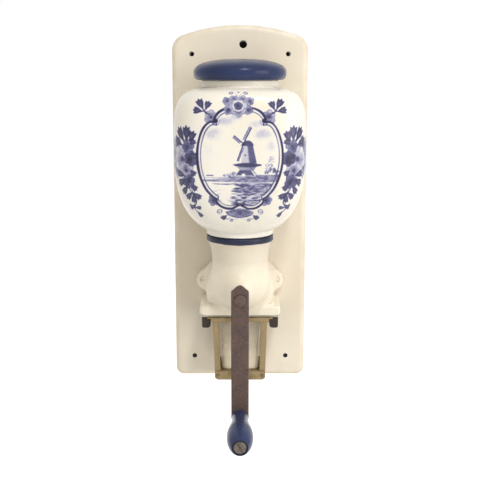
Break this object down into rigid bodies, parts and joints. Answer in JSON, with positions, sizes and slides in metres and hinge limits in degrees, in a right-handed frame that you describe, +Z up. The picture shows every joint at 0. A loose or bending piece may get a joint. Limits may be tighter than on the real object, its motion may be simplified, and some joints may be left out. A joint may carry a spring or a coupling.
{
  "type": "wall mounted coffee mill",
  "caption": "Wall mounted coffee mill: ceramic bean jar with a lid, cast grinder with a front crank, and a glass cup in a sliding brass holder, on a wooden back board.",
  "frame": {"origin": "centre of the four wall screws, on the back face of the board, where it lies on the wall", "axes": "+Z up, +Y into the wall, +X to the right of a viewer who stands at -Y"},
  "size_m": [0.13, 0.1946, 0.3593],
  "materials": {
    "board_paint": "cream lacquer on wood, worn at the edges",
    "jar_glaze": "glossy off-white glaze with cobalt blue brushwork",
    "felt": "dark blue felt",
    "screw_steel": "dull steel with old tarnish",
    "fibre": "red-brown pressed fibre",
    "lid_paint": "slate blue satin paint",
    "casting_paint": "cream enamel over sand-cast iron",
    "ear_screw_paint": "cream paint over the slotted heads",
    "bronze": "oiled bronze",
    "dark_iron": "machined cast iron",
    "burr_steel": "hardened steel, oily",
    "bright_steel": "turned steel",
    "crank_iron": "bare iron bar with brown rust bloom",
    "knob_paint": "slate blue gloss paint, rubbed at the end",
    "rail_iron": "dark japanned iron",
    "brass_sheet": "dull aged brass",
    "cup_glass": "clear pressed glass"
  },
  "bodies": {
    "mill": {"back_board": "board_paint", "hopper_jar": "jar_glaze", "jar_felt_ring": "felt", "jar_screw": "screw_steel", "jar_washer": "fibre", "mill_casting": "casting_paint", "casting_screws": "ear_screw_paint", "front_bush": "bronze", "rear_plate": "dark_iron", "rear_plate_screws": "screw_steel", "rear_bush": "bronze", "ring_burr": "burr_steel", "ring_burr_screws": "screw_steel", "base_plate": "rail_iron", "cup_rail_left": "rail_iron", "cup_rail_right": "rail_iron", "rail_screws": "screw_steel"},
    "lid": {"lid": "lid_paint"},
    "crank": {"drive_shaft": "bright_steel", "cone_burr": "burr_steel", "burr_pin": "bright_steel", "burr_spring": "bright_steel", "thrust_washer": "bright_steel", "crank_arm": "crank_iron", "crank_nut": "crank_iron", "knob_screw": "screw_steel", "knob_washer": "bright_steel"},
    "adjuster": {"adjusting_nut": "screw_steel"},
    "knob": {"crank_knob": "knob_paint"},
    "cup_holder": {"holder_plate": "brass_sheet", "holder_side_left": "brass_sheet", "holder_side_right": "brass_sheet", "holder_tray": "brass_sheet", "holder_rivets": "brass_sheet", "glass_cup": "cup_glass"}
  },
  "joints": [
    {"name": "crank_spin", "type": "hinge", "parent": "mill", "child": "crank", "pos_m": [0, -0.1, -0.063], "axis": [0, -1, 0], "continuous": true},
    {"name": "knob_spin", "type": "hinge", "parent": "crank", "child": "knob", "pos_m": [0, -0.16, -0.171], "axis": [0, -1, 0], "continuous": true},
    {"name": "grind_adjust", "type": "hinge", "parent": "crank", "child": "adjuster", "pos_m": [0, -0.117, -0.063], "axis": [0, -1, 0], "range_deg": [-180, 180]},
    {"name": "lid_lift", "type": "slide", "parent": "mill", "child": "lid", "axis": [0, 0, 1], "range_m": [0, 0.04]},
    {"name": "holder_slide", "type": "slide", "parent": "mill", "child": "cup_holder", "axis": [0, -1, 0], "range_m": [0, 0.048]}
  ]
}
